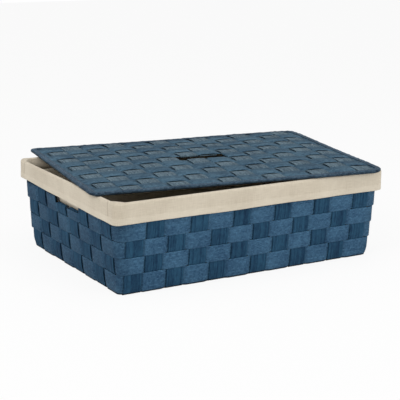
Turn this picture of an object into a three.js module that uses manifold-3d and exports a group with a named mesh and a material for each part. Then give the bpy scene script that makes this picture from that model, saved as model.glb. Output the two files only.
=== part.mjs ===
// Underbed storage box: a low basket of woven straps on a wire frame, a cloth liner and a loose woven lid.
// Millimetres, +Z up, +X along the length. The lid lies askew on the rim.

import * as THREE from 'three';
import { mergeVertices } from 'three/addons/utils/BufferGeometryUtils.js';
import Module from 'manifold-3d';

const wasm = await Module();
wasm.setup();

// Basket wall, measured at the middle of the weave, and how far each wall leans out from the floor to the rim
const rimLength = 637;
const rimWidth = 452;
const rimHeight = 184.8;
const endWallLean = 19;
const sideWallLean = 20;

// Straps, the space between two that cross, and the room that every piece keeps to its neighbour
const strapWidth = 38;
const strapThickness = 1.1;
const weaveSpace = 1.7;
const crossingMargin = 0.4;
const clearance = 0.3;

// Uprights: straps that run down one wall, across the bottom and up the other
const frontUprights = 12;
const endUprights = 8;
const frontCornerMargin = 10;
const endCornerMargin = 12.5;
const tailLength = 24;

// Bands: straps that run round the wall between the rim and the floor, row 0 at the top
const bandRows = 5;
const bandGap = 0.6;
const topBandDrop = 4.9;
const lowBandRise = 7.4;
const lipFlare = 1.7;

// Hand slot in each end wall
const slotWidth = 94;
const slotFloorRise = 22.5;
const slotRoofDrop = 20;
const slotTailLength = 18;

// Wire frame
const frameWire = 3;
const slotWire = 3;
const weldDrop = 4;

// Cloth liner
const clothThickness = 1.2;
const cuffDrop = 42.6;
const seamDrop = 20;

// Lid: how much longer and wider than the rim it is, its straps and the folded binding round its edge
const lidOverLength = 15;
const lidOverWidth = 4;
const lidCornerRadius = 20;
const lidRows = 11;
const lidColumns = 12;
const lidColumnInset = 23;
const lidCrown = 7;
const bindingReach = 13;
const bindingGrip = 2.5;
const hemLength = 15;

// Where the lid lies on the rim
const lidShiftX = 19;
const lidShiftY = 17.5;
const lidTurn = -8.4;

// Facets
const cornerSteps = 3;
const foldSteps = 3;
const bendSteps = 1;
const cuffSteps = 4;
const wireSides = 6;

// Sizes that follow
const baseLength = rimLength - 2 * endWallLean;
const baseWidth = rimWidth - 2 * sideWallLean;
const halfStrap = strapThickness / 2;
const weaveSwing = (strapThickness + weaveSpace) / 2;
const crossingReach = strapWidth / 2 + crossingMargin;
const rowPitch = (rimHeight - topBandDrop - lowBandRise) / bandRows;
const wireRadius = frameWire / 2;
const slotWireRadius = slotWire / 2;
const weaveHalf = weaveSwing + halfStrap;
const bottomHeight = weaveHalf;
const bendFlat = Math.cos(Math.PI / (4 * bendSteps));
const foldFlat = Math.cos(Math.PI / (2 * foldSteps));
const bendRadius = (wireRadius + clearance + halfStrap) / bendFlat;
const tailOffset = weaveSwing + strapThickness + clearance;
const rimFoldRadius = Math.max(tailOffset, (wireRadius + clearance + halfStrap) / foldFlat);
const slotFoldRadius = (slotWireRadius + clearance + halfStrap) / foldFlat;
const slotFloor = rowMiddle(1) - rowPitch / 2 + slotFloorRise;
const slotRoof = rimHeight - slotRoofDrop;
const slotWireOffset = -(weaveSwing + slotFoldRadius);
const slotWireHeight = slotFloor - halfStrap - slotFoldRadius * foldFlat;
const slotTailOffset = -(weaveSwing + 2 * slotFoldRadius);
const postInset = weaveHalf + clearance + wireRadius;
const linerInset = halfStrap + clearance - slotTailOffset;
const frontPitch = (baseLength - 2 * frontCornerMargin - strapWidth) / (frontUprights - 1);
const endPitch = (baseWidth - 2 * endCornerMargin - strapWidth) / (endUprights - 1);
const flatHalfLength = baseLength / 2 - frontCornerMargin + crossingMargin;
const flatHalfWidth = baseWidth / 2 - endCornerMargin + crossingMargin;
const smallestCorner = 1;
const lidLength = rimLength + lidOverLength;
const lidWidth = rimWidth + lidOverWidth;
const lidEdgeInset = bindingReach - bindingGrip;
const lidRowPitch = (lidWidth - 2 * lidEdgeInset - strapWidth) / (lidRows - 1);
const lidColumnPitch = (lidLength - 2 * lidColumnInset - strapWidth) / (lidColumns - 1);
const slotRow = (lidRows - 1) / 2;
const slotColumns = [lidColumns / 2 - 1, lidColumns / 2];

// Corners in order round the box, each with the way its first side faces
const cornerOrder = [[1, -1, -90], [1, 1, 0], [-1, 1, 90], [-1, -1, 180]];

// Colours
const strapBlue = 0x35516f;
const uprightBlue = 0x2c4763;
const clothCream = 0xcfc4b4;
const wireGrey = 0x3a3d42;

function strapMaterial(color) {
  return new THREE.MeshStandardMaterial({ color, roughness: 0.75, metalness: 0 });
}

function clothMaterial() {
  return new THREE.MeshStandardMaterial({ color: clothCream, roughness: 0.95, metalness: 0 });
}

function wireMaterial() {
  return new THREE.MeshStandardMaterial({ color: wireGrey, roughness: 0.45, metalness: 0.8 });
}

// Half length and half width of the wall at a height: it widens evenly from the floor to the rim
function halfLength(z) {
  return (baseLength + (rimLength - baseLength) * z / rimHeight) / 2;
}

function halfWidth(z) {
  return (baseWidth + (rimWidth - baseWidth) * z / rimHeight) / 2;
}

// Middle of a run of copies, counted from 0, about zero
function spread(index, count, pitch) {
  return (index - (count - 1) / 2) * pitch;
}

// Row heights: the middle of each band, from the top row down
function rowMiddle(row) {
  return rimHeight - topBandDrop - rowPitch * (row + 0.5);
}

// A closed body from a run of sections, each a loop of the same number of points.
// The sections follow each other in a ring, or end in flat caps.
function loft(sections, ring) {
  const sides = sections[0].length;
  const positions = sections.flat().flatMap((point) => [point.x, point.y, point.z]);
  const index = [];
  const spans = ring ? sections.length : sections.length - 1;
  for (let i = 0; i < spans; i++) {
    const here = i * sides;
    const next = ((i + 1) % sections.length) * sides;
    for (let j = 0; j < sides; j++) {
      const k = (j + 1) % sides;
      index.push(here + j, here + k, next + k, here + j, next + k, next + j);
    }
  }
  if (!ring) {
    const last = (sections.length - 1) * sides;
    for (let j = 1; j < sides - 1; j++) {
      index.push(0, j + 1, j);
      index.push(last, last + j, last + j + 1);
    }
  }
  const geometry = new THREE.BufferGeometry();
  geometry.setAttribute('position', new THREE.Float32BufferAttribute(positions, 3));
  geometry.setIndex(index);
  return facingOut(geometry);
}

// Turns the faces of a closed body outwards
function facingOut(geometry) {
  const position = geometry.getAttribute('position');
  const index = geometry.getIndex().array;
  const corners = [new THREE.Vector3(), new THREE.Vector3(), new THREE.Vector3()];
  let volume = 0;
  for (let i = 0; i < index.length; i += 3) {
    corners.forEach((corner, j) => corner.fromBufferAttribute(position, index[i + j]));
    volume += corners[0].dot(corners[1].cross(corners[2]));
  }
  if (volume < 0) {
    const flipped = Array.from(index);
    for (let i = 0; i < flipped.length; i += 3) {
      [flipped[i + 1], flipped[i + 2]] = [flipped[i + 2], flipped[i + 1]];
    }
    geometry.setIndex(flipped);
  }
  geometry.computeVertexNormals();
  return geometry;
}

// Solids for joining and cutting
function toSolid(geometry) {
  const bare = geometry.clone();
  bare.deleteAttribute('normal');
  bare.deleteAttribute('uv');
  const merged = mergeVertices(bare);
  return new wasm.Manifold(new wasm.Mesh({
    numProp: 3,
    vertProperties: Float32Array.from(merged.getAttribute('position').array),
    triVerts: Uint32Array.from(merged.getIndex().array),
  }));
}

function fromSolid(solid) {
  const mesh = solid.getMesh();
  const geometry = new THREE.BufferGeometry();
  geometry.setAttribute('position', new THREE.Float32BufferAttribute(mesh.vertProperties, 3));
  geometry.setIndex(Array.from(mesh.triVerts));
  geometry.computeVertexNormals();
  return geometry;
}

// The two faces of a strap whose middle follows a path in a plane, mitred at each corner
function strapFaces(path) {
  return path.map((point, i) => {
    const before = path[Math.max(i - 1, 0)];
    const after = path[Math.min(i + 1, path.length - 1)];
    const into = i > 0 ? point.clone().sub(before).normalize() : after.clone().sub(point).normalize();
    const away = i < path.length - 1 ? after.clone().sub(point).normalize() : into;
    const bisector = into.clone().add(away).normalize();
    const normal = new THREE.Vector2(-bisector.y, bisector.x);
    const reach = halfStrap / bisector.dot(into);
    return [point.clone().addScaledVector(normal, reach), point.clone().addScaledVector(normal, -reach)];
  });
}

// A flat strap along a path in a plane; place(along, height, across) puts its corners in space
function strap(path, place) {
  const half = strapWidth / 2;
  const sections = strapFaces(path).map(([upper, lower]) => [
    place(upper.x, upper.y, -half),
    place(upper.x, upper.y, half),
    place(lower.x, lower.y, half),
    place(lower.x, lower.y, -half),
  ]);
  return loft(sections, false);
}

// A place on the way round the basket: an anchor on the flat stretch of a wall, and the way it faces.
// In the corners the anchor stays and the facing turns.
function station(x, y, facing) {
  return { x, y, facing };
}

function cornerStation(cornerX, cornerY, facing) {
  return station(cornerX * flatHalfLength, cornerY * flatHalfWidth, facing);
}

function ringStations() {
  const stations = [];
  for (const [cornerX, cornerY, firstFacing] of cornerOrder) {
    for (let i = 0; i <= cornerSteps; i++) {
      stations.push(cornerStation(cornerX, cornerY, firstFacing + 90 * i / cornerSteps));
    }
  }
  return stations;
}

// The point at a station of a ring with these half sizes; a corner is never tighter than the smallest one
function ringPoint(place, reachX, reachY, z) {
  const roundX = Math.max(reachX - flatHalfLength, smallestCorner);
  const roundY = Math.max(reachY - flatHalfWidth, smallestCorner);
  const x = THREE.MathUtils.clamp(place.x, roundX - reachX, reachX - roundX);
  const y = THREE.MathUtils.clamp(place.y, roundY - reachY, reachY - roundY);
  const angle = THREE.MathUtils.degToRad(place.facing);
  return new THREE.Vector3(x + roundX * Math.cos(angle), y + roundY * Math.sin(angle), z);
}

// A point at an offset outwards from the middle of the wall
function wallPoint(place, offset, z) {
  return ringPoint(place, halfLength(z) + offset, halfWidth(z) + offset, z);
}

// A point at an offset outwards from the rim, straight above or below it
function rimPoint(place, offset, z) {
  return ringPoint(place, rimLength / 2 + offset, rimWidth / 2 + offset, z);
}

// Uprights of all four walls in order round the basket, and which of them lie outside the top band.
// The weave alternates all the way round and along each strap.
function uprightsInOrder() {
  const walls = [
    { count: frontUprights, pitch: frontPitch, facing: -90 },
    { count: endUprights, pitch: endPitch, facing: 0 },
    { count: frontUprights, pitch: frontPitch, facing: 90 },
    { count: endUprights, pitch: endPitch, facing: 180 },
  ];
  return walls.map((wall) => {
    const stakes = [];
    for (let i = 0; i < wall.count; i++) {
      stakes.push({ along: spread(i, wall.count, wall.pitch), outside: i % 2 === 0 });
    }
    return { facing: wall.facing, stakes };
  });
}

// Stations of a band with its swing: it lies flat behind or in front of each upright,
// and crosses over in the gaps and round the corners
function bandStations(row) {
  const stations = [];
  for (const wall of uprightsInOrder()) {
    const angle = THREE.MathUtils.degToRad(wall.facing);
    const alongX = -Math.round(Math.sin(angle));
    const alongY = Math.round(Math.cos(angle));
    const anchorX = alongY * flatHalfLength;
    const anchorY = -alongX * flatHalfWidth;
    for (const stake of wall.stakes) {
      const swing = stake.outside === (row % 2 === 0) ? -weaveSwing : weaveSwing;
      for (const edge of [stake.along - crossingReach, stake.along + crossingReach]) {
        const place = station(anchorX + alongX * edge, anchorY + alongY * edge, wall.facing);
        stations.push({ place, swing, lip: 0 });
      }
    }
    const lastSwing = stations[stations.length - 1].swing;
    const cornerX = alongX + alongY;
    const cornerY = alongY - alongX;
    for (let i = 1; i < cornerSteps; i++) {
      const part = i / cornerSteps;
      const place = cornerStation(cornerX, cornerY, wall.facing + 90 * part);
      stations.push({ place, swing: lastSwing * (1 - 2 * part), lip: lipFlare * Math.sin(Math.PI * part) });
    }
  }
  return stations;
}

// One band: its lower lip stands proud of the row below in the corners
function bandGeometry(row) {
  const top = rowMiddle(row) + (rowPitch - bandGap) / 2;
  const bottom = rowMiddle(row) - (rowPitch - bandGap) / 2;
  const sections = bandStations(row).map(({ place, swing, lip }) => [
    wallPoint(place, swing + halfStrap, top),
    wallPoint(place, swing - halfStrap, top),
    wallPoint(place, swing + lip - halfStrap, bottom),
    wallPoint(place, swing + lip + halfStrap, bottom),
  ]);
  const geometry = loft(sections, true);
  const crossesSlot = bottom < slotRoof && top > slotFloor;
  return crossesSlot ? fromSolid(toSolid(geometry).subtract(slotCutter())) : geometry;
}

// The hand slot through both end walls, cut from the bands that cross it
function slotCutter() {
  const height = slotRoof - slotWireHeight;
  const cutter = new THREE.BoxGeometry(rimLength * 2, slotWidth, height);
  cutter.translate(0, 0, slotWireHeight + height / 2);
  return toSolid(cutter);
}

// Wall stretch of an upright, from the bottom bend up, as offset and height.
// It weaves past the bands, folds over the rim wire and ends in a tail on the other side.
function fullClimb(outsideAtTop) {
  const side = outsideAtTop ? 1 : -1;
  const points = [];
  for (let row = bandRows - 1; row >= 0; row--) {
    const swing = row % 2 === 0 ? side : -side;
    points.push(new THREE.Vector2(swing * weaveSwing, rowMiddle(row)));
  }
  for (let i = 0; i <= foldSteps; i++) {
    const angle = Math.PI * i / foldSteps;
    const offset = side * rimFoldRadius * Math.cos(angle);
    points.push(new THREE.Vector2(offset, rimHeight + rimFoldRadius * Math.sin(angle)));
  }
  points.push(new THREE.Vector2(-side * tailOffset, rimHeight - tailLength));
  return points;
}

// Wall stretch of an upright that ends below the hand slot, folded inwards over the slot wire
function slotClimb(outsideAtTop) {
  const side = outsideAtTop ? 1 : -1;
  const points = [];
  for (let row = bandRows - 1; row > 0; row--) {
    const swing = row % 2 === 0 ? side : -side;
    points.push(new THREE.Vector2(swing * weaveSwing, rowMiddle(row)));
  }
  points.push(new THREE.Vector2(-side * weaveSwing, slotWireHeight));
  for (let i = 1; i <= foldSteps; i++) {
    const angle = Math.PI * i / foldSteps;
    const offset = slotWireOffset + slotFoldRadius * Math.cos(angle);
    points.push(new THREE.Vector2(offset, slotWireHeight + slotFoldRadius * Math.sin(angle)));
  }
  points.push(new THREE.Vector2(slotTailOffset, slotWireHeight - slotTailLength));
  return points;
}

// The bend from the wall to the bottom, round the base wire, as offset and height
function bendPoints() {
  const points = [];
  for (let i = 0; i <= bendSteps; i++) {
    const angle = Math.PI / 2 * i / bendSteps;
    const height = bottomHeight + bendRadius * (1 - Math.sin(angle));
    points.push(new THREE.Vector2(bendRadius * (Math.cos(angle) - 1), height));
  }
  return points;
}

// A whole upright in its own plane: down one wall, across the bottom and up the other.
// reachAt gives the half size of the wall at a height, and crossings the bottom points.
function uprightPath(nearClimb, farClimb, crossings, reachAt) {
  const near = [...nearClimb].reverse();
  const bend = bendPoints();
  const farBend = [...bend].reverse();
  const nearSide = (point) => new THREE.Vector2(-(reachAt(point.y) + point.x), point.y);
  const farSide = (point) => new THREE.Vector2(reachAt(point.y) + point.x, point.y);
  return [
    ...near.map(nearSide),
    ...bend.map(nearSide),
    ...crossings,
    ...farBend.map(farSide),
    ...farClimb.map(farSide),
  ];
}

// Front-to-back upright: on the bottom it peaks once at each strap that it crosses
function frontUpright(index) {
  const crossings = [];
  for (let j = 0; j < endUprights; j++) {
    const below = (index + j) % 2 === 1;
    const height = bottomHeight + (below ? -weaveSwing : weaveSwing);
    crossings.push(new THREE.Vector2(spread(j, endUprights, endPitch), height));
  }
  const outsideFront = index % 2 === 0;
  const path = uprightPath(fullClimb(outsideFront), fullClimb(!outsideFront), crossings, halfWidth);
  const centre = spread(index, frontUprights, frontPitch);
  return strap(path, (along, height, across) => new THREE.Vector3(centre + across, along, height));
}

// End-to-end upright: on the bottom it lies flat over the width of each strap that it crosses
function endUpright(index) {
  const crossings = [];
  for (let k = 0; k < frontUprights; k++) {
    const below = (index + k) % 2 === 0;
    const height = bottomHeight + (below ? -weaveSwing : weaveSwing);
    const centre = spread(k, frontUprights, frontPitch);
    crossings.push(new THREE.Vector2(centre - crossingReach, height));
    crossings.push(new THREE.Vector2(centre + crossingReach, height));
  }
  const centre = spread(index, endUprights, endPitch);
  const meetsSlot = Math.abs(centre) < slotWidth / 2;
  const climb = meetsSlot ? slotClimb : fullClimb;
  const outsideRight = index % 2 === 0;
  const path = uprightPath(climb(!outsideRight), climb(outsideRight), crossings, halfLength);
  return strap(path, (along, height, across) => new THREE.Vector3(along, centre + across, height));
}

// A round section square to a direction
function roundSection(centre, direction, radius, sideways) {
  const second = new THREE.Vector3().crossVectors(direction, sideways).normalize();
  const first = new THREE.Vector3().crossVectors(second, direction).normalize();
  const points = [];
  for (let i = 0; i < wireSides; i++) {
    const angle = 2 * Math.PI * i / wireSides;
    const point = centre.clone();
    point.addScaledVector(first, radius * Math.cos(angle));
    point.addScaledVector(second, radius * Math.sin(angle));
    points.push(point);
  }
  return points;
}

// A wire along a run of points, open or closed in a ring
function wire(points, radius, ring, sideways) {
  const sections = points.map((point, i) => {
    const before = ring ? points[(i + points.length - 1) % points.length] : points[Math.max(i - 1, 0)];
    const after = ring ? points[(i + 1) % points.length] : points[Math.min(i + 1, points.length - 1)];
    return roundSection(point, after.clone().sub(before).normalize(), radius, sideways);
  });
  return loft(sections, ring);
}

// Welded frame: rim and base rings, a post in each corner and a bent wire round each hand slot
function wireFrame() {
  const up = new THREE.Vector3(0, 0, 1);
  const baseZ = bottomHeight + bendRadius;
  const rimRing = ringStations().map((place) => rimPoint(place, 0, rimHeight));
  const baseRing = ringStations().map((place) => wallPoint(place, -bendRadius, baseZ));
  let frame = toSolid(wire(rimRing, wireRadius, true, up));
  frame = frame.add(toSolid(wire(baseRing, wireRadius, true, up)));
  for (const [cornerX, cornerY, firstFacing] of cornerOrder) {
    const post = cornerPost(cornerStation(cornerX, cornerY, firstFacing + 45), baseZ);
    frame = frame.add(toSolid(post));
  }
  for (const facing of [0, 180]) {
    frame = frame.add(toSolid(slotWireLoop(facing)));
  }
  return fromSolid(frame);
}

// A post stands inside the weave and is welded to both rings
function cornerPost(place, baseZ) {
  const points = [
    wallPoint(place, -bendRadius, baseZ),
    wallPoint(place, -postInset, baseZ + weldDrop),
    wallPoint(place, -postInset, rimHeight - weldDrop),
    rimPoint(place, 0, rimHeight),
  ];
  const angle = THREE.MathUtils.degToRad(place.facing);
  return wire(points, wireRadius, false, new THREE.Vector3(Math.cos(angle), Math.sin(angle), 0));
}

// The wire round a hand slot hangs from the rim wire and carries the straps that end there
function slotWireLoop(facing) {
  const outX = facing === 0 ? 1 : -1;
  const half = slotWidth / 2 + slotWireRadius + clearance;
  const flatHalf = (endPitch + strapWidth) / 2 + clearance;
  const bend = half - flatHalf;
  const side = [
    [0, rimHeight, half],
    [slotWireOffset, rimHeight - weldDrop, half],
    [slotWireOffset, slotWireHeight + bend, half],
    [slotWireOffset, slotWireHeight, flatHalf],
  ];
  const mirrored = side.map(([out, z, along]) => [out, z, -along]).reverse();
  const points = [...side, ...mirrored].map(([out, z, along]) => {
    return wallPoint(station(outX * flatHalfLength, along, facing), out, z);
  });
  return wire(points, slotWireRadius, false, new THREE.Vector3(1, 0, 0));
}

// A cloth ring: its profile is a loop of offset and height, swept round the basket
function clothRing(profile, pointAt) {
  const sections = ringStations().map((place) => {
    return profile.map(([offset, z]) => pointAt(place, offset, z));
  });
  return loft(sections, true);
}

// Heights of the liner: it stands on the woven bottom and its wall ends at the seam with the cuff
function linerFloor() {
  return bottomHeight + weaveHalf + clearance;
}

function linerSeam() {
  return rimHeight - seamDrop;
}

// The wall is four panels sewn together in the middle of each corner.
// The stations of a panel run from one corner's seam to the next, each end half a clearance short of it.
function panelStations(corner) {
  const halfCorner = (order, from, to, shift) => {
    const [cornerX, cornerY, firstFacing] = cornerOrder[order % cornerOrder.length];
    const faced = (part) => cornerStation(cornerX, cornerY, firstFacing + 90 * part);
    const steps = [];
    for (let i = 0; i <= cornerSteps; i++) {
      const part = i / cornerSteps;
      if (part > from && part < to) {
        steps.push({ place: faced(part), shift: 0 });
      }
    }
    const seam = { place: faced(0.5), shift };
    return shift > 0 ? [seam, ...steps] : [...steps, seam];
  };
  return [
    ...halfCorner(corner, 0.5, 1.01, clearance / 2),
    ...halfCorner(corner + 1, -0.01, 0.5, -clearance / 2),
  ];
}

function linerPanel(corner) {
  const low = linerFloor() + clothThickness + clearance;
  const high = linerSeam() - clearance;
  const outer = -linerInset;
  const inner = outer - clothThickness;
  const profile = [[outer, low], [outer, high], [inner, high], [inner, low]];
  const sections = panelStations(corner).map(({ place, shift }) => {
    const angle = THREE.MathUtils.degToRad(place.facing);
    const along = new THREE.Vector3(-Math.sin(angle), Math.cos(angle), 0);
    return profile.map(([offset, z]) => wallPoint(place, offset, z).addScaledVector(along, shift));
  });
  return loft(sections, false);
}

function linerBase() {
  const z = linerFloor() + clothThickness;
  const outline = ringStations().map((place) => wallPoint(place, -linerInset, z));
  const shape = new THREE.Shape(outline.map((point) => new THREE.Vector2(point.x, point.y)));
  const geometry = new THREE.ExtrudeGeometry(shape, { depth: clothThickness, bevelEnabled: false });
  geometry.translate(0, 0, linerFloor());
  return geometry;
}

// The cuff turns over the rim in a round fold and hangs straight down outside
function cuffInnerRadius() {
  const foldReach = rimFoldRadius + halfStrap / foldFlat + clearance;
  return foldReach / Math.cos(Math.PI / (2 * cuffSteps));
}

function linerCuff() {
  const innerRadius = cuffInnerRadius();
  const outerRadius = innerRadius + clothThickness;
  const low = rimHeight + outerRadius - cuffDrop;
  const seam = linerSeam();
  const knee = rimHeight - weldDrop;
  const wallOffset = (z) => halfLength(z) - rimLength / 2 - linerInset;
  const arc = (radius) => {
    const points = [];
    for (let i = 0; i <= cuffSteps; i++) {
      const angle = Math.PI * i / cuffSteps;
      points.push([radius * Math.cos(angle), rimHeight + radius * Math.sin(angle)]);
    }
    return points;
  };
  const drop = (inset) => [[wallOffset(knee) - inset, knee], [wallOffset(seam) - inset, seam]];
  const outside = [[outerRadius, low], ...arc(outerRadius), ...drop(clothThickness)];
  const inside = [[innerRadius, low], ...arc(innerRadius), ...drop(0)];
  return clothRing([...outside, ...inside.reverse()], rimPoint);
}

// The lid rises to a slight crown inside its binding
function crown(x, y) {
  const halfX = lidLength / 2 - bindingReach;
  const halfY = lidWidth / 2 - bindingReach;
  const rise = (value, half) => Math.cos(Math.PI / 2 * Math.min(Math.abs(value) / half, 1));
  return lidCrown * rise(x, halfX) * rise(y, halfY);
}

function columnCentre(column) {
  return spread(column, lidColumns, lidColumnPitch);
}

function rowCentre(row) {
  return spread(row, lidRows, lidRowPitch);
}

// Rows are counted from the front and columns from the left
function columnIsOver(row, column) {
  return (row + column) % 2 === 1;
}

// The end of a lid strap at the hand slot: a half turn under, then a tail that lies back along the strap
function hemPoints(edge, swing, direction) {
  const tail = -tailOffset;
  const radius = (swing - tail) / 2;
  const points = [];
  for (let i = 0; i <= foldSteps; i++) {
    const angle = Math.PI * i / foldSteps;
    const along = edge + direction * radius * Math.sin(angle);
    points.push(new THREE.Vector2(along, tail + radius * (1 + Math.cos(angle))));
  }
  points.push(new THREE.Vector2(edge - direction * hemLength, tail));
  return points;
}

// Long strap of the lid over a run of columns: flat over the width of each strap that it crosses
function lidLongPath(row, firstColumn, lastColumn) {
  const edge = lidLength / 2 - lidEdgeInset;
  const points = [];
  for (let column = firstColumn; column <= lastColumn; column++) {
    const swing = columnIsOver(row, column) ? -weaveSwing : weaveSwing;
    const left = column === 0 ? -edge : columnCentre(column) - crossingReach;
    const right = column === lidColumns - 1 ? edge : columnCentre(column) + crossingReach;
    const startsAtSlot = column === firstColumn && column > 0;
    const endsAtSlot = column === lastColumn && column < lidColumns - 1;
    points.push(...(startsAtSlot ? hemPoints(left, swing, -1).reverse() : [new THREE.Vector2(left, swing)]));
    points.push(...(endsAtSlot ? hemPoints(right, swing, 1) : [new THREE.Vector2(right, swing)]));
  }
  return points;
}

// Cross strap of the lid over a run of rows: it peaks once at each strap that it crosses
function lidCrossPath(column, firstRow, lastRow) {
  const edge = lidWidth / 2 - lidEdgeInset;
  const points = [];
  for (let row = firstRow; row <= lastRow; row++) {
    const swing = columnIsOver(row, column) ? weaveSwing : -weaveSwing;
    const centre = rowCentre(row);
    if (row === 0) {
      points.push(new THREE.Vector2(-edge, swing));
    }
    if (row === firstRow && row > 0) {
      points.push(...hemPoints(centre - crossingReach, swing, -1).reverse());
    }
    points.push(new THREE.Vector2(centre, swing));
    if (row === lastRow && row < lidRows - 1) {
      points.push(...hemPoints(centre + crossingReach, swing, 1));
    }
    if (row === lidRows - 1) {
      points.push(new THREE.Vector2(edge, swing));
    }
  }
  return points;
}

function lidLongStrap(row, firstColumn, lastColumn) {
  const centre = rowCentre(row);
  return strap(lidLongPath(row, firstColumn, lastColumn), (along, height, across) => {
    const y = centre + across;
    return new THREE.Vector3(along, y, height + crown(along, y));
  });
}

function lidCrossStrap(column, firstRow, lastRow) {
  const centre = columnCentre(column);
  return strap(lidCrossPath(column, firstRow, lastRow), (along, height, across) => {
    const x = centre + across;
    return new THREE.Vector3(x, along, height + crown(x, along));
  });
}

// The lid's edge: a wire ring inside a strap that is folded round it and grips the ends of the others
function bindingInnerRadius() {
  return Math.max(wireRadius, weaveHalf) + clearance;
}

function bindingOuterRadius() {
  return bindingInnerRadius() + strapThickness;
}

// Points round the lid's edge at a distance inwards from its outer edge
function lidEdgePoint(cornerX, cornerY, angle, inset, z) {
  const centreX = cornerX * (lidLength / 2 - lidCornerRadius);
  const centreY = cornerY * (lidWidth / 2 - lidCornerRadius);
  const radius = lidCornerRadius - inset;
  return new THREE.Vector3(centreX + radius * Math.cos(angle), centreY + radius * Math.sin(angle), z);
}

function lidEdgeStations() {
  const stations = [];
  for (const [cornerX, cornerY, firstFacing] of cornerOrder) {
    for (let i = 0; i <= cornerSteps; i++) {
      const angle = THREE.MathUtils.degToRad(firstFacing + 90 * i / cornerSteps);
      stations.push((inset, z) => lidEdgePoint(cornerX, cornerY, angle, inset, z));
    }
  }
  return stations;
}

function lidWire() {
  const points = lidEdgeStations().map((at) => at(bindingOuterRadius(), 0));
  return wire(points, wireRadius, true, new THREE.Vector3(0, 0, 1));
}

function lidBinding() {
  const outer = bindingOuterRadius();
  const profile = (radius) => {
    const points = [[bindingReach, radius]];
    for (let i = 0; i <= foldSteps; i++) {
      const angle = Math.PI / 2 - Math.PI * i / foldSteps;
      points.push([outer - radius * Math.cos(angle), radius * Math.sin(angle)]);
    }
    points.push([bindingReach, -radius]);
    return points;
  };
  const loop = [...profile(outer), ...profile(bindingInnerRadius()).reverse()];
  const sections = lidEdgeStations().map((at) => loop.map(([inset, z]) => at(inset, z)));
  return loft(sections, true);
}

// Assembly
function addMesh(group, name, geometry, material) {
  const mesh = new THREE.Mesh(geometry, material);
  mesh.name = name;
  group.add(mesh);
}

function buildBasket() {
  const basket = new THREE.Group();
  addMesh(basket, 'wire_frame', wireFrame(), wireMaterial());
  for (let row = 0; row < bandRows; row++) {
    addMesh(basket, `band_${row + 1}`, bandGeometry(row), strapMaterial(strapBlue));
  }
  for (let i = 0; i < frontUprights; i++) {
    addMesh(basket, `front_upright_${i + 1}`, frontUpright(i), strapMaterial(uprightBlue));
  }
  for (let i = 0; i < endUprights; i++) {
    addMesh(basket, `end_upright_${i + 1}`, endUpright(i), strapMaterial(uprightBlue));
  }
  return basket;
}

function buildLiner() {
  const liner = new THREE.Group();
  ['right', 'back', 'left', 'front'].forEach((side, corner) => {
    addMesh(liner, `liner_${side}`, linerPanel(corner), clothMaterial());
  });
  addMesh(liner, 'liner_base', linerBase(), clothMaterial());
  addMesh(liner, 'liner_cuff', linerCuff(), clothMaterial());
  return liner;
}

function buildLid() {
  const lid = new THREE.Group();
  addMesh(lid, 'lid_wire', lidWire(), wireMaterial());
  addMesh(lid, 'lid_binding', lidBinding(), strapMaterial(uprightBlue));
  for (let row = 0; row < lidRows; row++) {
    const lastColumn = lidColumns - 1;
    const addLong = (suffix, from, to) => {
      const geometry = lidLongStrap(row, from, to);
      addMesh(lid, `lid_long_${row + 1}${suffix}`, geometry, strapMaterial(strapBlue));
    };
    if (row === slotRow) {
      addLong('_left', 0, slotColumns[0] - 1);
      addLong('_right', slotColumns[1] + 1, lastColumn);
    } else {
      addLong('', 0, lastColumn);
    }
  }
  for (let column = 0; column < lidColumns; column++) {
    const lastRow = lidRows - 1;
    const addCross = (suffix, from, to) => {
      const geometry = lidCrossStrap(column, from, to);
      addMesh(lid, `lid_cross_${column + 1}${suffix}`, geometry, strapMaterial(uprightBlue));
    };
    if (slotColumns.includes(column)) {
      addCross('_front', 0, slotRow - 1);
      addCross('_back', slotRow + 1, lastRow);
    } else {
      addCross('', 0, lastRow);
    }
  }
  const cuffTop = rimHeight + cuffInnerRadius() + clothThickness;
  lid.position.set(lidShiftX, lidShiftY, cuffTop + clearance + bindingOuterRadius());
  lid.rotation.z = THREE.MathUtils.degToRad(lidTurn);
  return lid;
}

// The box stands on the floor with the middle of its outline, lid and all, above the origin
function buildBox() {
  const box = new THREE.Group();
  box.add(buildBasket(), buildLiner(), buildLid());
  const outline = new THREE.Box3().setFromObject(box, true);
  const middle = outline.getCenter(new THREE.Vector3());
  box.position.set(-middle.x, -middle.y, -outline.min.z);
  return box;
}

export default buildBox();
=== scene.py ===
# Underbed storage box: a low basket of woven paper-cord straps on a wire frame,
# with a loose cream cloth liner folded over the rim and a woven lid that lies askew on top.
# Sizes are in millimetres and turn to metres where a mesh is made.
import math

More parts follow.
